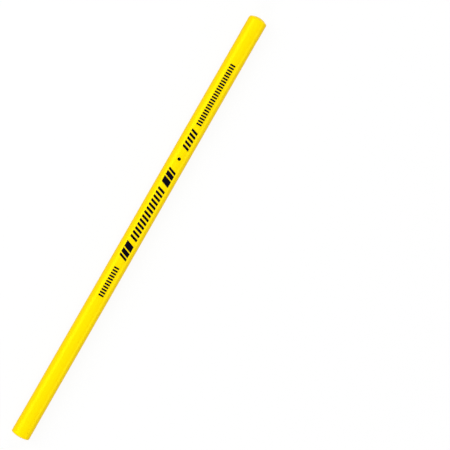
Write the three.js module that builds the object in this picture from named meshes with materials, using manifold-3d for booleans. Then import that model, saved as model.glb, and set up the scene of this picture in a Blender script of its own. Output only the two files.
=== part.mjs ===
// A round marking pencil for glass, metal and plastic, new and not yet sharpened, lying on its side.
// Two grooved wooden slats are glued together round a thick wax core and turned to a round barrel.
// An undercoat and a yellow lacquer cover the barrel, and both ends are dipped in the same lacquer,
// which dries to a shallow crown over the end and a thin skirt along the barrel.
// Slanted black bars and a dot are stamped in foil along the top.
// The pencil lies along X with its rear end at +X. It rests on its two dips at Z = 0.
import * as THREE from "three";
import { mergeVertices } from "three/addons/utils/BufferGeometryUtils.js";
import Module from "manifold-3d";

const wasm = await Module();
wasm.setup();

// The barrel in millimetres, as it is before dipping. Its diameter is taken over the lacquer.
const barrelLength = 176.1;
const barrelDiameter = 7.2;
const coreDiameter = 3.8;
const glueThickness = 0.1;
const undercoatThickness = 0.08;
const lacquerThickness = 0.12;

// The edge sanded off both ends of the barrel, as wide across the barrel as along it.
const edgeBreak = 0.3;

// The dips. A crown's height is how far it stands out past the barrel, and the cover is the
// thickness of lacquer over the sanded edge. A skirt thins out to nothing along its taper.
const frontCrownHeight = 0.75;
const rearCrownHeight = 1.15;
const frontSkirtLength = 6;
const rearSkirtLength = 7;
const skirtThickness = 0.04;
const skirtTaper = 0.6;
const dipCover = 0.12;
const dipCornerRadius = 0.5;

// The stamped marks. Two groups of three bars mirror each other about the middle of the print, and
// a dot follows the rear group. All of it is rolled a little off the top of the barrel.
const foilThickness = 0.03;
const printFromRear = 82;
const barsApart = 25.15;
const barGap = 0.6;
const thickBar = 2.35;
const mediumBar = 1.62;
const thinBar = 0.8;
const barHeight = 3.15;
const barSlant = THREE.MathUtils.degToRad(21);
const dotSpace = 4.1;
const dotDiameter = 1.2;
const printRoll = THREE.MathUtils.degToRad(5);

// How finely the round forms are divided. A number of sides that can be halved twice puts one flat
// of the barrel straight down, so the pencil lies on a face and not on an edge.
const sides = 64;
const crownSteps = 10;
const cornerSteps = 5;
const dotSteps = 12;

// Radii from the axis outwards. Each layer lies directly on the one inside it.
const coreRadius = coreDiameter / 2;
const grooveRadius = coreRadius + glueThickness;
const barrelRadius = barrelDiameter / 2;
const undercoatRadius = barrelRadius - lacquerThickness;
const casingRadius = undercoatRadius - undercoatThickness;
const skirtRadius = barrelRadius + skirtThickness;
const foilRadius = barrelRadius + foilThickness;

// Stations along the axis, from the middle of the barrel.
const barrelEnd = barrelLength / 2;
const printMiddle = barrelEnd - printFromRear;
const firstBar = barsApart / 2;
const lastBarEnd = firstBar + thickBar + barGap + mediumBar + barGap + thinBar;

const wood = new THREE.MeshStandardMaterial({ color: 0xd9b888, roughness: 0.75, metalness: 0 });
const glue = new THREE.MeshStandardMaterial({ color: 0xe8dfc4, roughness: 0.5, metalness: 0 });
const wax = new THREE.MeshStandardMaterial({ color: 0xf2cf10, roughness: 0.6, metalness: 0 });
const primer = new THREE.MeshStandardMaterial({ color: 0xf4f0e4, roughness: 0.7, metalness: 0 });
const lacquer = new THREE.MeshStandardMaterial({ color: 0xfde403, roughness: 0.25, metalness: 0 });
const foil = new THREE.MeshStandardMaterial({ color: 0x0b0b12, roughness: 0.4, metalness: 0 });

// A closed geometry as a solid that can be joined and cut.
function solidOf(geometry) {
  geometry.deleteAttribute("normal");
  geometry.deleteAttribute("uv");
  const merged = mergeVertices(geometry);
  const vertProperties = merged.attributes.position.array;
  const triVerts = new Uint32Array(merged.index.array);
  return new wasm.Manifold(new wasm.Mesh({ numProp: 3, vertProperties, triVerts }));
}

// A named piece of the pencil, made from its solid.
function piece(name, solid, material) {
  const { vertProperties, triVerts } = solid.getMesh();
  const geometry = new THREE.BufferGeometry();
  geometry.setAttribute("position", new THREE.BufferAttribute(vertProperties, 3));
  geometry.setIndex(new THREE.BufferAttribute(triVerts, 1));
  geometry.computeVertexNormals();
  const mesh = new THREE.Mesh(geometry, material);
  mesh.name = name;
  return mesh;
}

// An outline of (radius, station) points turned round the X axis. It runs from front to rear on the
// outside of the piece.
function turned(outline) {
  const geometry = new THREE.LatheGeometry(outline, sides, Math.PI / sides);
  geometry.rotateZ(-Math.PI / 2);
  return solidOf(geometry);
}

// An outline of the rear end, turned into the same outline of the front end.
function atFront(outline) {
  return outline.map((point) => new THREE.Vector2(point.x, -point.y)).reverse();
}

// The rear end of a layer of the barrel, from its outside in: what it has of the sanded edge, then
// what it has of the end face.
function layerEnd(innerRadius, outerRadius) {
  const faceRadius = barrelRadius - edgeBreak;
  const radii = [outerRadius, innerRadius];
  if (innerRadius < faceRadius && faceRadius < outerRadius) radii.splice(1, 0, faceRadius);
  return radii.map((radius) => {
    return new THREE.Vector2(radius, barrelEnd - Math.max(0, radius - faceRadius));
  });
}

// A layer of the barrel between two radii, or a rod where the inner radius is 0.
function layer(innerRadius, outerRadius) {
  const rearEnd = layerEnd(innerRadius, outerRadius);
  const outline = [...atFront(rearEnd), ...rearEnd];
  return turned(innerRadius > 0 ? [...outline, outline[0]] : outline);
}

// A block that spans the whole pencil between two heights.
function slab(bottom, top) {
  const geometry = new THREE.BoxGeometry(2 * barrelLength, 2 * barrelDiameter, top - bottom);
  geometry.translate(0, 0, (bottom + top) / 2);
  return solidOf(geometry);
}

// Points along an arc, between two angles off the pencil's axis.
function arc(centre, radius, fromAngle, toAngle, steps) {
  return Array.from({ length: steps + 1 }, (_, step) => {
    const angle = THREE.MathUtils.lerp(fromAngle, toAngle, step / steps);
    return new THREE.Vector2(radius * Math.sin(angle), radius * Math.cos(angle)).add(centre);
  });
}

// The outline of the rear dip: inwards along what it covers, then out over the skirt, round the
// corner and over the crown. The crown's arc clears the inner edge of the sanding by the cover, and
// the corner's arc runs smoothly into both the skirt and the crown.
function dipOutline(crownHeight, skirtLength) {
  const faceRadius = barrelRadius - edgeBreak;
  const crownRadius =
    (faceRadius ** 2 + crownHeight ** 2 - dipCover ** 2) / (2 * (crownHeight - dipCover));
  const crownCentre = new THREE.Vector2(0, barrelEnd + crownHeight - crownRadius);
  const reach = crownRadius - dipCornerRadius;
  const meeting = Math.asin((skirtRadius - dipCornerRadius) / reach);
  const [cornerCentre] = arc(crownCentre, reach, meeting, meeting, 1);
  const skirtStart = barrelEnd - skirtLength;
  return [
    ...layerEnd(0, barrelRadius).reverse(),
    new THREE.Vector2(barrelRadius, skirtStart),
    new THREE.Vector2(skirtRadius, skirtStart + skirtTaper),
    ...arc(cornerCentre, dipCornerRadius, Math.PI / 2, meeting, cornerSteps),
    ...arc(crownCentre, crownRadius, meeting, 0, crownSteps).slice(1),
  ];
}

// A slanted bar seen from above. Its far end leans towards the rear of the pencil.
function barOutline(middle, width) {
  const halfHeight = barHeight / 2;
  const lean = halfHeight * Math.tan(barSlant);
  return new THREE.Shape([
    new THREE.Vector2(middle - width / 2 - lean, -halfHeight),
    new THREE.Vector2(middle + width / 2 - lean, -halfHeight),
    new THREE.Vector2(middle + width / 2 + lean, halfHeight),
    new THREE.Vector2(middle - width / 2 + lean, halfHeight),
  ]);
}

// A mark of foil that wraps over the lacquer, from its outline seen from above.
const foilSheet = layer(barrelRadius, foilRadius);
function stamped(outline) {
  const settings = { depth: barrelDiameter, bevelEnabled: false, curveSegments: dotSteps };
  const block = new THREE.ExtrudeGeometry(outline, settings);
  block.rotateX(printRoll);
  return foilSheet.intersect(solidOf(block));
}

const pencil = new THREE.Group();

// The casing is a tube split by the glue film, which also lines the grooves round the core.
const casing = layer(grooveRadius, casingRadius);
const halfFilm = glueThickness / 2;
const film = layer(coreRadius, casingRadius).intersect(slab(-halfFilm, halfFilm));
pencil.add(
  piece("upper_slat", casing.intersect(slab(halfFilm, barrelDiameter)), wood),
  piece("lower_slat", casing.intersect(slab(-barrelDiameter, -halfFilm)), wood),
  piece("glue_film", film.add(layer(coreRadius, grooveRadius)), glue),
  piece("marking_core", layer(0, coreRadius), wax),
);

// The two coats over the casing, and the dips over the ends.
pencil.add(
  piece("undercoat", layer(casingRadius, undercoatRadius), primer),
  piece("yellow_lacquer", layer(undercoatRadius, barrelRadius), lacquer),
  piece("front_dip", turned(atFront(dipOutline(frontCrownHeight, frontSkirtLength))), lacquer),
  piece("rear_dip", turned(dipOutline(rearCrownHeight, rearSkirtLength)), lacquer),
);

// The bars grow thinner away from the middle of the print.
const bars = { thick: thickBar, medium: mediumBar, thin: thinBar };
for (const [end, direction] of Object.entries({ front: -1, rear: 1 })) {
  let station = firstBar;
  for (const [weight, width] of Object.entries(bars)) {
    const middle = printMiddle + direction * (station + width / 2);
    pencil.add(piece(`${end}_${weight}_bar`, stamped(barOutline(middle, width)), foil));
    station += width + barGap;
  }
}

const dotRadius = dotDiameter / 2;
const dotMiddle = printMiddle + lastBarEnd + dotSpace + dotRadius;
const dotOutline = new THREE.Shape().absarc(dotMiddle, 0, dotRadius, 0, 2 * Math.PI);
pencil.add(piece("foil_dot", stamped(dotOutline), foil));

// The origin is under the middle of the pencil's whole length, on what it lies on.
const restHeight = skirtRadius * Math.cos(Math.PI / sides);
pencil.position.set((frontCrownHeight - rearCrownHeight) / 2, 0, restHeight);

export default pencil;
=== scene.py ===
"""Dresses a packed marking pencil and sets it up in a plain white studio.

The pencil lies along X on a floor at Z = 0, in metres, with its rear end at +X and its printed side
up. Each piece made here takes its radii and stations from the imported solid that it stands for.
"""

import logging
import math
from dataclasses import dataclass
from enum import Enum
from typing import Any, Callable, Iterable, Sequence

import bmesh
import bpy
from mathutils import Euler, Matrix, Vector, noise


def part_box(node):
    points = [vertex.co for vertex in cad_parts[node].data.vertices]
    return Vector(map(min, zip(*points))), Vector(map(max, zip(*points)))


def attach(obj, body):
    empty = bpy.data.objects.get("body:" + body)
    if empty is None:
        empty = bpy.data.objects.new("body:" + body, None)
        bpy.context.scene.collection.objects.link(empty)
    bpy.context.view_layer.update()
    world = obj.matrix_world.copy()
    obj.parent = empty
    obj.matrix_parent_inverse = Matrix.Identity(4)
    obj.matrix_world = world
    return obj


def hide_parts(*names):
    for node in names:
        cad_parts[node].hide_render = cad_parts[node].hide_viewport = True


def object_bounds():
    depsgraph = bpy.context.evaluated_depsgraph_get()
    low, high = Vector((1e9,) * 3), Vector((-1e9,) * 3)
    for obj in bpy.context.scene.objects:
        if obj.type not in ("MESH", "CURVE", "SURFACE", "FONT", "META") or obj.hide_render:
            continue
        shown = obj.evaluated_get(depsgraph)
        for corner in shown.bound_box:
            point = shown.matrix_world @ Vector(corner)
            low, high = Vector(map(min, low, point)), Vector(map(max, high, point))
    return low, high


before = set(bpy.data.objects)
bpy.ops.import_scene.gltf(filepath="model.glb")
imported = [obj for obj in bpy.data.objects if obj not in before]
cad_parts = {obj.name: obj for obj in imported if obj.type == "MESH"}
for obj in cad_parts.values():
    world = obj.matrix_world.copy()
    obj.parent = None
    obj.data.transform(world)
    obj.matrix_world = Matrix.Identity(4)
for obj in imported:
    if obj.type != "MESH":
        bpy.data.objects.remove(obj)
CAD_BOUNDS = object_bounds()

LOG = logging.getLogger("marking_pencil")
MM = 0.001
BODY = "root"

# Corners of a form that lie closer together than this are one corner.
TIDY_DISTANCE = 0.0001 * MM

# Faces that meet at more than this look creased.
CREASE = math.radians(40)

# A noise seldom leaves these limits, so they are spread over a finish's whole range.
DARK_SPOT = 0.3
LIGHT_SPOT = 0.7

Colour = tuple[float, float, float]
Form = bmesh.types.BMesh
Inputs = dict[str | int, Any]
Piece = bpy.types.Object
Socket = bpy.types.NodeSocket

WHITE: Colour = (1.0, 1.0, 1.0)


class End(Enum):
    """An end of the pencil, as its direction along X."""

    FRONT = -1
    REAR = 1

    @property
    def word(self) -> str:
        """The end's name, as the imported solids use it."""
        return self.name.lower()


class Side(Enum):
    """A side of the pencil, as the angle from +X towards +Y at which it lies."""

    REAR = 0.0
    FAR = math.pi / 2
    FRONT = math.pi
    NEAR = -math.pi / 2


class Slot(Enum):
    """The material slots, by which the materials are named."""

    WOOD = "casing_wood"
    GLUE = "glue"
    WAX = "wax_core"
    UNDERCOAT = "undercoat"
    LACQUER = "yellow_lacquer"
    FOIL = "black_foil"


def opaque(colour: Colour) -> tuple[float, float, float, float]:
    """A colour as a socket holds it."""
    return (*colour, 1.0)


def held(share: float) -> float:
    """A share, held between 0 and 1."""
    return min(1.0, max(0.0, share))


@dataclass(frozen=True)
class Grain:
    """The spots of a noise.

    Attributes:
        size: How large they are along X, Y and Z.
        detail: How much finer noise they hold.
    """

    size: tuple[float, float, float]
    detail: float = 2.0


class Nodes:
    """A tree of shader nodes, added one at a time."""

    def __init__(self, tree: bpy.types.NodeTree) -> None:
        """Starts with what the tree holds."""
        self.tree = tree

    def add(self, kind: str, inputs: Inputs, **settings: Any) -> bpy.types.Node:
        """Adds a node.

        Args:
            kind: The node's type.
            inputs: For each input, a value or the socket that feeds it.
            settings: The node's own properties.

        Returns:
            The new node.
        """
        node = self.tree.nodes.new(kind)
        for name, value in settings.items():
            setattr(node, name, value)
        self.feed(node, inputs)
        return node

    def feed(self, node: bpy.types.Node, inputs: Inputs) -> None:
        """Sets or links a node's inputs.

        Args:
            node: The node to set.
            inputs: For each input, a value or the socket that feeds it.
        """
        for name, value in inputs.items():
            if isinstance(value, Socket):
                self.tree.links.new(value, node.inputs[name])
            else:
                node.inputs[name].default_value = value


class Recipe(Nodes):
    """A finish's nodes, round one Principled BSDF."""

    def __init__(self, slot: Slot) -> None:
        """Starts a material whose coordinates are the piece's own place.

        Args:
            slot: The slot that names it.
        """
        self.material = bpy.data.materials.new(slot.value)
        self.material.use_nodes = True
        super().__init__(self.material.node_tree)
        self.shader = self.tree.nodes["Principled BSDF"]
        self.place = self.add("ShaderNodeTexCoord", {}).outputs["Object"]

    def spots(self, grain: Grain) -> Socket:
        """Noise between 0 and 1 that follows the piece.

        Args:
            grain: Its spots.

        Returns:
            The noise's output.
        """
        scale = [1.0 / length for length in grain.size]
        spread = self.add("ShaderNodeMapping", {"Vector": self.place, "Scale": scale})
        inputs = {"Vector": spread.outputs["Vector"], "Scale": 1.0, "Detail": grain.detail}
        return self.add("ShaderNodeTexNoise", inputs).outputs["Fac"]

    def between(self, factor: Socket, low: float, high: float) -> Socket:
        """Spreads the middle of a noise over a range of values.

        Args:
            factor: The noise.
            low: The value at its dark spots.
            high: The value at its light spots.

        Returns:
            The value's output.
        """
        spots = {"From Min": DARK_SPOT, "From Max": LIGHT_SPOT}
        values = {"To Min": low, "To Max": high}
        return self.add("ShaderNodeMapRange", {"Value": factor, **spots, **values}).outputs["Result"]

    def blend(self, factor: Socket, first: Colour, second: Colour) -> Socket:
        """Mixes two colours by a noise.

        Args:
            factor: The noise.
            first: The colour at its dark spots.
            second: The colour at its light spots.

        Returns:
            The colour's output.
        """
        ramp = self.add("ShaderNodeValToRGB", {"Fac": self.between(factor, 0.0, 1.0)})
        ramp.color_ramp.elements[0].color = opaque(first)
        ramp.color_ramp.elements[1].color = opaque(second)
        return ramp.outputs["Color"]

    def mix(self, factor: Socket, first: Socket, second: Colour) -> Socket:
        """Runs one colour into another.

        Args:
            factor: The second colour's share.
            first: The first colour's output.
            second: The second colour.

        Returns:
            The colour's output.
        """
        node = self.add("ShaderNodeMix", {}, data_type="RGBA")
        inputs = {socket.identifier: socket for socket in node.inputs}
        outputs = {socket.identifier: socket for socket in node.outputs}
        self.tree.links.new(factor, inputs["Factor_Float"])
        self.tree.links.new(first, inputs["A_Color"])
        inputs["B_Color"].default_value = opaque(second)
        return outputs["Result_Color"]

    def relief(self, height: Socket, depth: float) -> Socket:
        """Turns a noise into bumps.

        Args:
            height: The noise.
            depth: How deep the bumps are.

        Returns:
            The bent normal's output.
        """
        bumps = {"Height": height, "Distance": depth, "Strength": 1.0}
        return self.add("ShaderNodeBump", bumps).outputs["Normal"]

    def done(self, **inputs: Any) -> bpy.types.Material:
        """Feeds the shader.

        Args:
            inputs: For each input, with _ for a space, a value or the socket that feeds it.

        Returns:
            The finished material.
        """
        self.feed(self.shader, {name.replace("_", " "): value for name, value in inputs.items()})
        return self.material


@dataclass(frozen=True)
class Finish:
    """A surface of the pencil.

    Attributes:
        slot: The slot that it belongs to.
        roughness: How blurred its highlights are, at least and at most.
    """

    slot: Slot
    roughness: tuple[float, float]

    def material(self) -> bpy.types.Material:
        """Builds the material. Each finish has its own."""
        raise NotImplementedError


@dataclass(frozen=True)
class Lacquer(Finish):
    """Glossy yellow lacquer, as it is on the barrel.

    A plain gloss mirrors the white floor as a pale rim along the pencil's sides. So this one mirrors
    little by itself, a small share of it is metallic, and a thin tinted coat deepens its colour there.

    Attributes:
        thin: Its colour where it is thin.
        thick: Its colour where it is thick.
        clouds: Its thin and thick places.
        smears: Its blurred and clear places.
        skin: The dimples in its skin.
        skin_depth: How deep they are.
        metal: The metallic share.
        specular: How strongly it mirrors by itself.
        gloss: The tint of its highlights.
        coat: The tint of the clear coat over it, which looks deeper at a slant.
        coat_ior: How strongly that coat bends light.
        coat_roughness: How blurred its highlights are.
    """

    slot: Slot = Slot.LACQUER
    roughness: tuple[float, float] = (0.20, 0.26)
    thin: Colour = (0.985, 0.808, 0.001)
    thick: Colour = (0.985, 0.824, 0.001)
    clouds: Grain = Grain((12 * MM, 3 * MM, 3 * MM))
    smears: Grain = Grain((5 * MM, 1.2 * MM, 1.2 * MM), detail=4.0)
    skin: Grain = Grain((0.4 * MM, 0.4 * MM, 0.4 * MM))
    skin_depth: float = 0.0008 * MM
    metal: float = 0.06
    specular: float = 0.03
    gloss: Colour = (1.0, 0.90, 0.0)
    coat: Colour = (1.0, 0.91, 0.80)
    coat_ior: float = 1.05
    coat_roughness: float = 0.2

    def colour(self, recipe: Recipe) -> Socket:
        """The lacquer's colour, a little cloudy."""
        return recipe.blend(recipe.spots(self.clouds), self.thin, self.thick)

    def material(self) -> bpy.types.Material:
        """Builds the lacquer, a little uneven in colour, in gloss and in its skin.

        Returns:
            The material.
        """
        recipe = Recipe(self.slot)
        return recipe.done(
            Base_Color=self.colour(recipe),
            Roughness=recipe.between(recipe.spots(self.smears), *self.roughness),
            Normal=recipe.relief(recipe.spots(self.skin), self.skin_depth),
            Metallic=self.metal,
            Specular_IOR_Level=self.specular,
            Specular_Tint=opaque(self.gloss),
            Coat_Weight=1.0,
            Coat_IOR=self.coat_ior,
            Coat_Roughness=self.coat_roughness,
            Coat_Tint=opaque(self.coat),
        )


@dataclass(frozen=True)
class DipLacquer(Lacquer):
    """The same lacquer in a dip, with a painted highlight over its crown: its colour is lighter there,
    so that the crown, seen at a slant, shows as bright as the barrel.

    Attributes:
        crown: Its colour there, lighter than the lacquer's: a painted highlight.
        painted_highlight_start: The station at which the crown's painted highlight starts to show.
        painted_highlight_full: The station from which the painted highlight is full.
    """

    # Painted highlight: the crown is lighter than the lacquer, so that seen at a slant it shows as
    # bright as the barrel.
    crown: Colour = (0.985, 0.90, 0.001)
    painted_highlight_start: float = 0.0
    painted_highlight_full: float = 0.0

    def colour(self, recipe: Recipe) -> Socket:
        """The lacquer's colour, running into the crown's lighter colour, which is a painted highlight.

        Args:
            recipe: The material that it is for.

        Returns:
            The colour's output.
        """
        stations = recipe.add("ShaderNodeSeparateXYZ", {"Vector": recipe.place})
        reach = {"From Min": self.painted_highlight_start, "From Max": self.painted_highlight_full}
        crown = recipe.add("ShaderNodeMapRange", {"Value": stations.outputs["X"], **reach})
        return recipe.mix(crown.outputs["Result"], super().colour(recipe), self.crown)


@dataclass(frozen=True)
class Foil(Finish):
    """Black foil, pressed on hot, with the faint mottling of a worn die.

    Attributes:
        pressed: Its colour where the die pressed hard.
        lifted: Its colour where the die pressed less, where it is matter too.
        mottling: Those places.
        mottling_depth: How deep they are.
        specular: How strongly it mirrors.
    """

    slot: Slot = Slot.FOIL
    roughness: tuple[float, float] = (0.34, 0.50)
    pressed: Colour = (0.0010, 0.0006, 0.004)
    lifted: Colour = (0.0030, 0.0022, 0.008)
    mottling: Grain = Grain((0.35 * MM, 0.35 * MM, 0.35 * MM), detail=5.0)
    mottling_depth: float = 0.001 * MM
    specular: float = 0.02

    def material(self) -> bpy.types.Material:
        """Builds the foil.

        Returns:
            The material.
        """
        recipe = Recipe(self.slot)
        mottling = recipe.spots(self.mottling)
        return recipe.done(
            Base_Color=recipe.blend(mottling, self.pressed, self.lifted),
            Roughness=recipe.between(mottling, *self.roughness),
            Normal=recipe.relief(mottling, self.mottling_depth),
            Specular_IOR_Level=self.specular,
        )


@dataclass(frozen=True)
class Softwood(Finish):
    """Light softwood whose grain runs along the pencil, crossed by fine pores.

    Attributes:
        early: The colour of its early wood.
        late: The colour of its late wood.
        rings: The bands of both.
        pores: Its pores.
        pore_depth: How deep they are.
    """

    slot: Slot = Slot.WOOD
    roughness: tuple[float, float] = (0.68, 0.85)
    early: Colour = (0.74, 0.53, 0.30)
    late: Colour = (0.56, 0.35, 0.17)
    rings: Grain = Grain((40 * MM, 1.1 * MM, 0.8 * MM), detail=3.0)
    pores: Grain = Grain((6 * MM, 0.12 * MM, 0.12 * MM))
    pore_depth: float = 0.02 * MM

    def material(self) -> bpy.types.Material:
        """Builds the wood.

        Returns:
            The material.
        """
        recipe = Recipe(self.slot)
        pores = recipe.spots(self.pores)
        return recipe.done(
            Base_Color=recipe.blend(recipe.spots(self.rings), self.early, self.late),
            Roughness=recipe.between(pores, *self.roughness),
            Normal=recipe.relief(pores, self.pore_depth),
        )


@dataclass(frozen=True)
class Wax(Finish):
    """The soft yellow wax of the core, pressed and cloudy.

    Attributes:
        pale: Its colour where it is pale.
        deep: Its colour where it is deep.
        clouds: Those places.
        cloud_depth: How deep they are.
        glow: The share of the light that goes into it.
        glow_depth: How far that light goes.
    """

    slot: Slot = Slot.WAX
    roughness: tuple[float, float] = (0.45, 0.6)
    pale: Colour = (0.91, 0.66, 0.010)
    deep: Colour = (0.86, 0.57, 0.004)
    clouds: Grain = Grain((1.5 * MM, 0.8 * MM, 0.8 * MM), detail=4.0)
    cloud_depth: float = 0.01 * MM
    glow: float = 0.2
    glow_depth: float = 0.5 * MM

    def material(self) -> bpy.types.Material:
        """Builds the wax.

        Returns:
            The material.
        """
        recipe = Recipe(self.slot)
        clouds = recipe.spots(self.clouds)
        return recipe.done(
            Base_Color=recipe.blend(clouds, self.pale, self.deep),
            Roughness=recipe.between(clouds, *self.roughness),
            Normal=recipe.relief(clouds, self.cloud_depth),
            Subsurface_Weight=self.glow,
            Subsurface_Scale=self.glow_depth,
        )


@dataclass(frozen=True)
class Glue(Finish):
    """A thin film of dried wood glue.

    Attributes:
        clear: Its colour where it is clear.
        cloudy: Its colour where it is cloudy.
        streaks: Those places.
    """

    slot: Slot = Slot.GLUE
    roughness: tuple[float, float] = (0.35, 0.55)
    clear: Colour = (0.83, 0.76, 0.56)
    cloudy: Colour = (0.78, 0.70, 0.50)
    streaks: Grain = Grain((4 * MM, 0.6 * MM, 0.6 * MM))

    def material(self) -> bpy.types.Material:
        """Builds the glue.

        Returns:
            The material.
        """
        recipe = Recipe(self.slot)
        streaks = recipe.spots(self.streaks)
        return recipe.done(
            Base_Color=recipe.blend(streaks, self.clear, self.cloudy),
            Roughness=recipe.between(streaks, *self.roughness),
        )


@dataclass(frozen=True)
class Undercoat(Finish):
    """The matt pale filler under the lacquer, which shows the wood's grain a little.

    Attributes:
        pale: Its colour where the wood is filled.
        chalky: Its colour over the grain.
        lines: The lines of the grain.
        line_depth: How deep they are.
    """

    slot: Slot = Slot.UNDERCOAT
    roughness: tuple[float, float] = (0.65, 0.8)
    pale: Colour = (0.90, 0.87, 0.77)
    chalky: Colour = (0.86, 0.83, 0.73)
    lines: Grain = Grain((9 * MM, 0.3 * MM, 0.3 * MM), detail=3.0)
    line_depth: float = 0.004 * MM

    def material(self) -> bpy.types.Material:
        """Builds the undercoat.

        Returns:
            The material.
        """
        recipe = Recipe(self.slot)
        lines = recipe.spots(self.lines)
        return recipe.done(
            Base_Color=recipe.blend(lines, self.pale, self.chalky),
            Roughness=recipe.between(lines, *self.roughness),
            Normal=recipe.relief(lines, self.line_depth),
        )


@dataclass(frozen=True)
class Layer:
    """A round layer of the pencil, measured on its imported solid.

    Attributes:
        axis: The height of the pencil's axis over the floor.
        radius: The distance from the axis to the middle of one of the solid's flats.
        front: The station of its front end.
        rear: The station of its rear end.
    """

    axis: float
    radius: float
    front: float
    rear: float

    @classmethod
    def of(cls, node: str) -> "Layer":
        """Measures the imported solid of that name."""
        low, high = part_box(node)
        return cls((low.z + high.z) / 2, (high.z - low.z) / 2, low.x, high.x)

    @property
    def length(self) -> float:
        """The distance between its ends."""
        return self.rear - self.front

    def reach(self, end: End) -> float:
        """The layer's station at one end."""
        return self.rear if end is End.REAR else self.front


def turned(outline: Sequence[Vector], sides: int, ring: bool = False) -> Form:
    """Spins an outline round the X axis.

    Args:
        outline: Points of station and radius.
        sides: How many sides the round form has.
        ring: True where the outline closes on itself and doesn't meet the axis.

    Returns:
        The closed form, round the X axis.
    """
    form = bmesh.new()
    verts = [form.verts.new((point.x, 0.0, point.y)) for point in outline]
    pairs = list(zip(verts, verts[1:]))
    if ring:
        pairs.append((verts[-1], verts[0]))
    edges = [form.edges.new(pair) for pair in pairs]
    bmesh.ops.spin(
        form,
        geom=verts + edges,
        cent=(0.0, 0.0, 0.0),
        axis=(1.0, 0.0, 0.0),
        angle=math.tau,
        steps=sides,
        use_merge=True,
    )
    return form


def arc(
    centre: Vector, radius: float, from_angle: float, to_angle: float, steps: int
) -> list[Vector]:
    """Points along an arc.

    Args:
        centre: The arc's centre, as station and radius.
        radius: The arc's own radius.
        from_angle: The angle off the pencil's axis that it starts at.
        to_angle: The angle that it ends at.
        steps: How many stretches it has.

    Returns:
        Its points, as station and radius, with both ends.
    """
    points = []
    for step in range(steps + 1):
        angle = from_angle + (to_angle - from_angle) * step / steps
        points.append(centre + radius * Vector((math.cos(angle), math.sin(angle))))
    return points


def moved(form: Form, shift: Callable[[Vector], Vector]) -> None:
    """Moves every corner of a form.

    Args:
        form: The form.
        shift: Gives a corner's new place from its old one.
    """
    for vert in form.verts:
        vert.co = shift(vert.co)


def made(name: str, form: Form, finish: Finish, replaces: Iterable[str] = ()) -> Piece:
    """Makes a finished form a piece of the pencil.

    Args:
        name: The piece's name.
        form: Its closed form, in place.
        finish: Its surface.
        replaces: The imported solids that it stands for.

    Returns:
        The piece.
    """
    bmesh.ops.remove_doubles(form, verts=form.verts, dist=TIDY_DISTANCE)
    bmesh.ops.recalc_face_normals(form, faces=form.faces)
    mesh = bpy.data.meshes.new(name)
    form.to_mesh(mesh)
    form.free()
    mesh.shade_smooth()
    mesh.set_sharp_from_angle(angle=CREASE)
    mesh.materials.append(finish.material())
    piece = bpy.data.objects.new(name, mesh)
    bpy.context.collection.objects.link(piece)
    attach(piece, BODY)
    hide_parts(*replaces)
    return piece


@dataclass(frozen=True)
class Barrel:
    """The barrel: the lacquer that shows, over the solids that it hides.

    Attributes:
        sides: How many sides the lacquer has.
        rings: How many times it is divided along its length.
        waviness: How far it strays in or out.
        wave_length: How far apart its waves are.
    """

    sides: int = 144
    rings: int = 110
    waviness: float = 0.002 * MM
    wave_length: float = 10 * MM

    def hidden(self) -> list[Piece]:
        """Dresses the casing, core and undercoat, which the lacquer covers.

        Returns:
            The dressed solids.
        """
        softwood = Softwood().material()
        surfaces = {
            "upper_slat": softwood,
            "lower_slat": softwood,
            "glue_film": Glue().material(),
            "marking_core": Wax().material(),
            "undercoat": Undercoat().material(),
        }
        for node, surface in surfaces.items():
            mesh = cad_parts[node].data
            mesh.materials.clear()
            mesh.materials.append(surface)
        return [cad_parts[node] for node in surfaces]

    def coat(self) -> Piece:
        """Turns the lacquer as a thin tube, sanded at both ends and faintly wavy along its length.

        Returns:
            The coat.
        """
        outside = Layer.of("yellow_lacquer")
        inside = Layer.of("undercoat").radius
        sanded = outside.radius - inside
        outline = [
            Vector((outside.front, inside)),
            Vector((outside.front + sanded, outside.radius)),
            Vector((outside.rear - sanded, outside.radius)),
            Vector((outside.rear, inside)),
        ]
        form = turned(outline, self.sides, ring=True)
        lengthwise = [edge for edge in form.edges if edge.calc_length() > outside.length / 2]
        bmesh.ops.subdivide_edges(form, edges=lengthwise, cuts=self.rings, use_grid_fill=True)

        def waved(place: Vector) -> Vector:
            """A place of the coat, moved a little in or out."""
            out = Vector((0.0, place.y, place.z)).normalized()
            return place + out * noise.noise(place / self.wave_length) * self.waviness

        moved(form, waved)
        moved(form, lambda place: place + Vector((0.0, 0.0, outside.axis)))
        return made("barrel_lacquer", form, Lacquer(), ["yellow_lacquer"])


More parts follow.
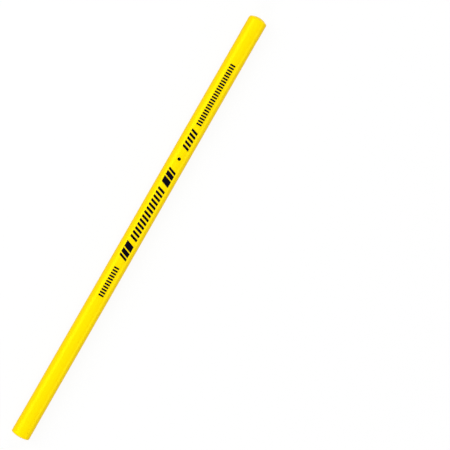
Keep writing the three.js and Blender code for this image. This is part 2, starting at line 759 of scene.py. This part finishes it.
@dataclass(frozen=True)
class EndDip:
    """Lacquer that an end of the barrel was dipped in.

    Attributes:
        end: The end that it covers.
        fuller: How much further the rim of its crown stands out on one side.
        fuller_side: That side, which is the near or the far one.
        corner: The radius of its corner.
        cover: Its thickness over the sanded edge.
        sanding: The width of the sanded edge under it.
        bead: How far the lip of its skirt stands out.
        bead_length: How long that lip is.
        wander: How far the lip strays along the barrel.
        wander_length: How far apart its strays are.
        wander_fade: The power by which they fade out towards the crown.
        sides: How many sides the dip has.
        crown_steps: How finely its crown is divided.
        corner_steps: How finely its corner is divided.
        bead_steps: How finely its lip is divided.
    """

    end: End
    fuller: float
    fuller_side: Side
    corner: float = 0.5 * MM
    cover: float = 0.12 * MM
    sanding: float = 0.3 * MM
    bead: float = 0.012 * MM
    bead_length: float = 0.7 * MM
    wander: float = 0.12 * MM
    wander_length: float = 2 * MM
    wander_fade: int = 4
    sides: int = 144
    crown_steps: int = 28
    corner_steps: int = 10
    bead_steps: int = 10

    def lip(self, start: float, skirt_radius: float, barrel_radius: float) -> list[Vector]:
        """Draws the lip, from the edge of the skirt on. Its points lie closest at that edge.

        Args:
            start: The station of the skirt's edge.
            skirt_radius: The radius of the skirt.
            barrel_radius: The radius of the lacquer under it.

        Returns:
            Points of station and radius.
        """
        points = []
        for step in range(1, self.bead_steps + 1):
            share = step / self.bead_steps
            thickness = (skirt_radius - barrel_radius) * math.sin(share * math.pi / 2)
            bulge = self.bead * math.sin(share * math.pi)
            station = start + self.bead_length * share**2
            points.append(Vector((station, barrel_radius + thickness + bulge)))
        return points

    def outline(self, skirt: Layer, barrel: Layer, crown_height: float) -> list[Vector]:
        """Draws the dip's section, with its stations counted out from the end of the barrel.

        Args:
            skirt: The dip's solid.
            barrel: The lacquer under it.
            crown_height: How far it stands out past the barrel.

        Returns:
            Points of station and radius, in along what it covers and out over its skirt and crown.
        """
        face = barrel.radius - self.sanding
        crown = (face**2 + crown_height**2 - self.cover**2) / (2 * (crown_height - self.cover))
        crown_centre = Vector((crown_height - crown, 0.0))
        meeting = math.asin((skirt.radius - self.corner) / (crown - self.corner))
        corner_centre = arc(crown_centre, crown - self.corner, meeting, meeting, 1)[0]
        start = crown_height - skirt.length
        return [
            Vector((0.0, 0.0)),
            Vector((0.0, face)),
            Vector((-self.sanding, barrel.radius)),
            Vector((start, barrel.radius)),
            *self.lip(start, skirt.radius, barrel.radius),
            *arc(corner_centre, self.corner, math.pi / 2, meeting, self.corner_steps),
            *arc(crown_centre, crown, meeting, 0.0, self.crown_steps)[1:],
        ]

    def build(self) -> Piece:
        """Turns the dip on its end of the barrel.

        Returns:
            The dip.
        """
        node = f"{self.end.word}_dip"
        outwards = self.end.value
        skirt = Layer.of(node)
        barrel = Layer.of("yellow_lacquer")
        barrel_end = Layer.of("upper_slat").reach(self.end)
        crown_height = abs(skirt.reach(self.end) - barrel_end)
        skirt_length = skirt.length - crown_height
        form = turned(self.outline(skirt, barrel, crown_height), self.sides)

        def strayed(place: Vector) -> Vector:
            """Makes the lip's line uneven.

            Args:
                place: A place of the dip.

            Returns:
                Its new place.
            """
            lip = held(-place.x / skirt_length) ** self.wander_fade
            stray = noise.noise(Vector((outwards, place.y, place.z)) / self.wander_length)
            return place + Vector((stray * self.wander * lip, 0.0, 0.0))

        def filled(place: Vector) -> Vector:
            """Makes the crown's rim fuller on one side.

            Args:
                place: A place of the dip.

            Returns:
                Its new place.
            """
            crown = held(place.x / self.cover)
            side = max(0.0, math.sin(self.fuller_side.value) * place.y / skirt.radius)
            return place + Vector((self.fuller * side**2 * crown, 0.0, 0.0))

        def placed(place: Vector) -> Vector:
            """A place of the dip, on its own end of the pencil."""
            return Vector((barrel_end + outwards * place.x, place.y, place.z + skirt.axis))

        for shift in (strayed, filled, placed):
            moved(form, shift)
        # The crown's lighter colour is a painted highlight, from the sanded edge out past the corner.
        finish = DipLacquer(
            painted_highlight_start=barrel_end - outwards * self.sanding,
            painted_highlight_full=barrel_end + outwards * self.corner,
        )
        return made(f"{node}_lacquer", form, finish, [node])


@dataclass(frozen=True)
class Hatch:
    """A stretch of like strokes along the print.

    Attributes:
        name: The piece's name.
        start: Where it starts, counted from the middle of the print.
        end: Where it ends, counted in the same way.
        count: How many strokes it has.
        stroke: The width of one.
        height: The height of one, across the barrel.
        slant: The angle that they lean towards the rear.
    """

    name: str
    start: float
    end: float
    count: int
    stroke: float
    height: float
    slant: float = 0.0


@dataclass(frozen=True)
class FoilPrint:
    """The black marks along the top of the barrel.

    Attributes:
        roll: The angle that the print is turned off the top, towards -Y.
        slant: The angle that its bars lean towards the rear.
        height: The height of a bar, across the barrel.
        thickness: How far the foil stands out.
        sunk: How far it goes into the lacquer.
        corner: The rounding of a bar's corners.
        corner_share: The most of a bar's width that the rounding takes.
        corner_steps: How finely a corner is divided.
        spread: How far the hot foil spreads past the die round a bar.
        strips: How many strips a bar is divided into, from its bottom to its top.
        dot_spread: How far the foil spreads round the dot.
        dot_sides: How many sides the dot has.
        dot_rings: How many rings divide it.
        hatches: The stretches of strokes between and beyond the bars.
    """

    roll: float = math.radians(5)
    slant: float = math.radians(21)
    height: float = 3.15 * MM
    thickness: float = 0.02 * MM
    sunk: float = 0.01 * MM
    corner: float = 0.12 * MM
    corner_share: float = 0.25
    corner_steps: int = 3
    spread: float = 0.07 * MM
    strips: int = 14
    dot_spread: float = 0.045 * MM
    dot_sides: int = 40
    dot_rings: int = 3
    hatches: tuple[Hatch, ...] = (
        Hatch(
            "middle_hatch",
            start=-10.65 * MM,
            end=10.55 * MM,
            count=13,
            stroke=0.965 * MM,
            height=3.1 * MM,
            slant=math.radians(18),
        ),
        Hatch(
            "rear_hatch",
            start=27.6 * MM,
            end=35.1 * MM,
            count=5,
            stroke=0.97 * MM,
            height=2.75 * MM,
            slant=math.radians(18),
        ),
        Hatch(
            "front_ticks",
            start=-34.75 * MM,
            end=-22.55 * MM,
            count=11,
            stroke=0.69 * MM,
            height=2.1 * MM,
        ),
        Hatch(
            "rear_ticks",
            start=37.55 * MM,
            end=63.1 * MM,
            count=23,
            stroke=0.685 * MM,
            height=2.1 * MM,
        ),
    )

    def bar(self, form: Form, middle: float, width: float, height: float, slant: float) -> None:
        """Adds a flat bar, seen from above.

        Args:
            form: The form that it goes into.
            middle: The station of its middle.
            width: Its width along the barrel.
            height: Its height across the barrel.
            slant: The angle that it leans towards the rear.
        """
        # A square of side 1 is stretched to the bar's width and height and then leant over.
        lean = height * math.tan(slant)
        rows = ((width, lean, 0, middle), (0, height, 0, 0), (0, 0, 1, 0), (0, 0, 0, 1))
        grid = bmesh.ops.create_grid(
            form, x_segments=1, y_segments=self.strips, size=0.5, matrix=Matrix(rows)
        )
        bmesh.ops.bevel(
            form,
            geom=[vert for vert in grid["verts"] if len(vert.link_edges) == 2],
            offset=min(self.corner, width * self.corner_share),
            offset_type="OFFSET",
            segments=self.corner_steps,
            profile=0.5,
            affect="VERTICES",
            material=-1,
        )

    def wrapped(self, name: str, form: Form, replaces: Iterable[str] = ()) -> Piece:
        """Gives flat marks their thickness and lays them round the barrel.

        Args:
            name: The piece's name.
            form: The flat marks, seen from above.
            replaces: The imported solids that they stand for.

        Returns:
            The piece.
        """
        barrel = Layer.of("yellow_lacquer")
        top = bmesh.ops.extrude_face_region(form, geom=form.faces[:])
        raised = [item for item in top["geom"] if isinstance(item, bmesh.types.BMVert)]
        bmesh.ops.translate(form, verts=raised, vec=(0.0, 0.0, self.thickness + self.sunk))

        def laid(place: Vector) -> Vector:
            """Lays a mark on the barrel.

            Args:
                place: A place of the flat marks.

            Returns:
                Its new place.
            """
            angle = math.asin(place.y / barrel.radius) - self.roll
            radius = barrel.radius - self.sunk + place.z
            height = barrel.axis + radius * math.cos(angle)
            return Vector((place.x, radius * math.sin(angle), height))

        moved(form, laid)
        return made(name, form, Foil(), replaces)

    def bars(self, end: End) -> list[Piece]:
        """Makes a group of three bars.

        Args:
            end: The end of the pencil that the group is towards.

        Returns:
            Its bars, the inner one first.
        """
        height = self.height + 2 * self.spread
        lean = self.height * math.tan(self.slant)
        pieces = []
        for weight in ("thick", "medium", "thin"):
            node = f"{end.word}_{weight}_bar"
            low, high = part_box(node)
            width = high.x - low.x - lean + 2 * self.spread
            form = bmesh.new()
            self.bar(form, (low.x + high.x) / 2, width, height, self.slant)
            pieces.append(self.wrapped(f"{node}_foil", form, [node]))
        return pieces

    def dot(self) -> Piece:
        """Makes the dot that follows the bars.

        Returns:
            The dot.
        """
        low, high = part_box("foil_dot")
        form = bmesh.new()
        bmesh.ops.create_circle(
            form,
            cap_ends=True,
            cap_tris=True,
            segments=self.dot_sides,
            radius=(high.x - low.x) / 2 + self.dot_spread,
            matrix=Matrix.Translation(((low.x + high.x) / 2, 0.0, 0.0)),
        )
        spokes = [edge for edge in form.edges if len(edge.link_faces) == 2]
        bmesh.ops.subdivide_edges(form, edges=spokes, cuts=self.dot_rings, use_grid_fill=True)
        return self.wrapped("foil_dot_mark", form, ["foil_dot"])

    def middle(self) -> float:
        """The station halfway between the two thick bars."""
        front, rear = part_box("front_thick_bar"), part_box("rear_thick_bar")
        return (front[0].x + front[1].x + rear[0].x + rear[1].x) / 4

    def hatch(self, hatch: Hatch) -> Piece:
        """Makes a stretch of strokes.

        Args:
            hatch: How it is laid out.

        Returns:
            The stretch.
        """
        form = bmesh.new()
        first = self.middle() + hatch.start + hatch.stroke / 2
        pitch = (hatch.end - hatch.start - hatch.stroke) / (hatch.count - 1)
        for index in range(hatch.count):
            self.bar(form, first + index * pitch, hatch.stroke, hatch.height, hatch.slant)
        return self.wrapped(hatch.name, form)


@dataclass(frozen=True)
class SoftBox:
    """A square soft box that faces the middle of the pencil.

    Attributes:
        name: Its name.
        side: The side that it hangs on.
        lean: How far it hangs off the vertical.
        size: The length of its sides.
        distance: How far off it hangs.
        power: Its power, in watts.
    """

    name: str
    side: Side
    lean: float
    size: float
    distance: float
    power: float

    def hang(self, target: Vector) -> bpy.types.Object:
        """Hangs the soft box.

        Args:
            target: The place that it faces.

        Returns:
            The soft box.
        """
        light = bpy.data.lights.new(self.name, "AREA")
        light.shape = "SQUARE"
        light.size = self.size
        light.energy = self.power
        lamp = bpy.data.objects.new(self.name, light)
        bpy.context.collection.objects.link(lamp)
        turn = Euler((0.0, self.lean, self.side.value))
        lamp.location = target + turn.to_matrix() @ Vector((0.0, 0.0, self.distance))
        lamp.rotation_euler = turn
        return lamp


@dataclass(frozen=True)
class Studio:
    """The white floor, the soft light and the camera.

    Attributes:
        frame_px: The width of the photograph.
        centre_px: Where the middle of the pencil lies in it, from its top left corner.
        length_px: How long the pencil is in it, with the half pixel that a render's soft edges lose.
        tilt: How far the pencil's rear end is turned up from the photograph's right.
        lens: The camera's focal length.
        sensor: The width of its sensor.
        depth_seen: How many times nearer and farther than the pencil the camera still sees.
        floor_size: The length of the floor's sides.
        floor_squares: How many squares lie along one side.
        floor_shown: How white the floor is where it is seen.
        floor_lit: How much of the light it throws back at the pencil.
        backdrop_share: The share of the floor's look that no shadow darkens, near and far.
        far: How far off the near and the far floor lie.
        ambient: The strength of the even light from all round.
        boxes: The soft boxes.
    """

    frame_px: float = 450.0
    centre_px: tuple[float, float] = (139.34, 227.44)
    length_px: float = 483.2
    tilt: float = math.radians(60.16)
    lens: float = 200.0
    sensor: float = 36.0
    depth_seen: float = 100.0
    floor_size: float = 3.0
    floor_squares: int = 4
    floor_shown: float = 0.92
    floor_lit: float = 0.35
    backdrop_share: tuple[float, float] = (0.9, 1.0)
    far: tuple[float, float] = (0.2, 0.8)
    ambient: float = 0.42
    boxes: tuple[SoftBox, ...] = (
        SoftBox("key_box", Side.FAR, lean=math.radians(49), size=0.55, distance=0.8, power=2.8),
        SoftBox("low_box", Side.NEAR, lean=math.radians(75), size=0.4, distance=0.8, power=1.45),
        SoftBox("rear_box", Side.REAR, lean=math.radians(60), size=0.8, distance=1.2, power=6.4),
        SoftBox("front_box", Side.FRONT, lean=math.radians(60), size=0.8, distance=1.2, power=6.4),
    )

    def shown(self, nodes: Nodes) -> Socket:
        """Tells rays that show the backdrop from rays that carry its light.

        Args:
            nodes: The nodes to work in.

        Returns:
            A value that is 1 for a ray from the camera, a reflection or a view through glass.
        """
        path = nodes.add("ShaderNodeLightPath", {})
        shown = path.outputs["Is Camera Ray"]
        for ray in ("Is Glossy Ray", "Is Transmission Ray"):
            either = {0: shown, 1: path.outputs[ray]}
            shown = nodes.add("ShaderNodeMath", either, operation="MAXIMUM").outputs["Value"]
        return shown

    def floor_white(self) -> bpy.types.Material:
        """Paints a white that glows by itself where it is seen, and more so farther off.

        Returns:
            The floor's material.
        """
        surface = bpy.data.materials.new("floor_white")
        surface.use_nodes = True
        surface.node_tree.nodes.clear()
        nodes = Nodes(surface.node_tree)
        shown = self.shown(nodes)
        greys = {"To Min": self.floor_lit, "To Max": self.floor_shown}
        grey = nodes.add("ShaderNodeMapRange", {"Value": shown, **greys})
        paint = nodes.add("ShaderNodeBsdfDiffuse", {"Color": grey.outputs["Result"]})
        glow = nodes.add("ShaderNodeEmission", {})

        place = nodes.add("ShaderNodeTexCoord", {}).outputs["Object"]
        distance = nodes.add("ShaderNodeVectorMath", {0: place}, operation="LENGTH")
        reach = {"From Min": self.far[0], "From Max": self.far[1]}
        shares = {"To Min": self.backdrop_share[0], "To Max": self.backdrop_share[1]}
        backdrop = nodes.add(
            "ShaderNodeMapRange",
            {"Value": distance.outputs["Value"], **reach, **shares},
            interpolation_type="SMOOTHSTEP",
        )
        seen = {0: shown, 1: backdrop.outputs["Result"]}
        share = nodes.add("ShaderNodeMath", seen, operation="MULTIPLY").outputs["Value"]
        looks = {0: share, 1: paint.outputs["BSDF"], 2: glow.outputs["Emission"]}
        mixed = nodes.add("ShaderNodeMixShader", looks)
        nodes.add("ShaderNodeOutputMaterial", {"Surface": mixed.outputs["Shader"]})
        return surface

    def floor(self) -> bpy.types.Object:
        """Lays a white floor that keeps a faint shadow.

        Returns:
            The floor.
        """
        form = bmesh.new()
        squares = self.floor_squares
        half = self.floor_size / 2
        bmesh.ops.create_grid(form, x_segments=squares, y_segments=squares, size=half)
        mesh = bpy.data.meshes.new("floor")
        form.to_mesh(mesh)
        form.free()
        mesh.materials.append(self.floor_white())
        floor = bpy.data.objects.new("floor", mesh)
        bpy.context.collection.objects.link(floor)
        return floor

    def world(self) -> None:
        """Surrounds the pencil with even soft light, and shows white behind it."""
        world = bpy.data.worlds.new("studio")
        world.use_nodes = True
        world.node_tree.nodes.clear()
        nodes = Nodes(world.node_tree)
        white = {"Color": opaque(WHITE)}
        lit = nodes.add("ShaderNodeBackground", {**white, "Strength": self.ambient})
        seen = nodes.add("ShaderNodeBackground", white)
        looks = {0: self.shown(nodes), 1: lit.outputs["Background"], 2: seen.outputs["Background"]}
        mixed = nodes.add("ShaderNodeMixShader", looks)
        nodes.add("ShaderNodeOutputWorld", {"Surface": mixed.outputs["Shader"]})
        bpy.context.scene.world = world

    def camera(self, target: Vector, length: float) -> bpy.types.Object:
        """Sets the camera straight over the pencil, as far off as the photograph's scale asks.

        Args:
            target: The middle of the pencil.
            length: Its length.

        Returns:
            The camera.
        """
        per_pixel = length / self.length_px
        right = Vector((math.cos(self.tilt), -math.sin(self.tilt), 0.0))
        up = Vector((math.sin(self.tilt), math.cos(self.tilt), 0.0))
        across = (self.frame_px / 2 - self.centre_px[0]) * per_pixel
        along = (self.centre_px[1] - self.frame_px / 2) * per_pixel
        distance = self.frame_px * per_pixel * self.lens / self.sensor
        data = bpy.data.cameras.new("camera")
        data.lens = self.lens
        data.sensor_width = self.sensor
        data.clip_start = distance / self.depth_seen
        data.clip_end = distance * self.depth_seen
        camera = bpy.data.objects.new("camera", data)
        bpy.context.collection.objects.link(camera)
        camera.location = target + right * across + up * along + Vector((0.0, 0.0, distance))
        camera.rotation_euler = (0.0, 0.0, -self.tilt)
        bpy.context.scene.camera = camera
        return camera

    def build(self) -> None:
        """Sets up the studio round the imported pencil."""
        low, high = CAD_BOUNDS
        middle = (low + high) / 2
        self.floor()
        self.world()
        for box in self.boxes:
            box.hang(middle)
        self.camera(middle, high.x - low.x)
        bpy.context.scene.view_settings.view_transform = "Standard"


def report(pieces: Iterable[Piece]) -> None:
    """Logs each piece with the size of its mesh.

    Args:
        pieces: The pieces.
    """
    for piece in pieces:
        LOG.info("%s: %d faces", piece.name, len(piece.data.polygons))


def main() -> None:
    """Builds the pencil from the inside out, then the studio."""
    logging.basicConfig(level=logging.INFO, format="%(name)s %(message)s")
    barrel = Barrel()
    report(barrel.hidden())
    report([barrel.coat()])
    report([EndDip(End.FRONT, fuller=0.06 * MM, fuller_side=Side.NEAR).build()])
    report([EndDip(End.REAR, fuller=0.22 * MM, fuller_side=Side.FAR).build()])

    foil_print = FoilPrint()
    for end in End:
        report(foil_print.bars(end))
    report([foil_print.dot()])
    report(foil_print.hatch(hatch) for hatch in foil_print.hatches)

    Studio().build()


if __name__ == "__main__":
    main()
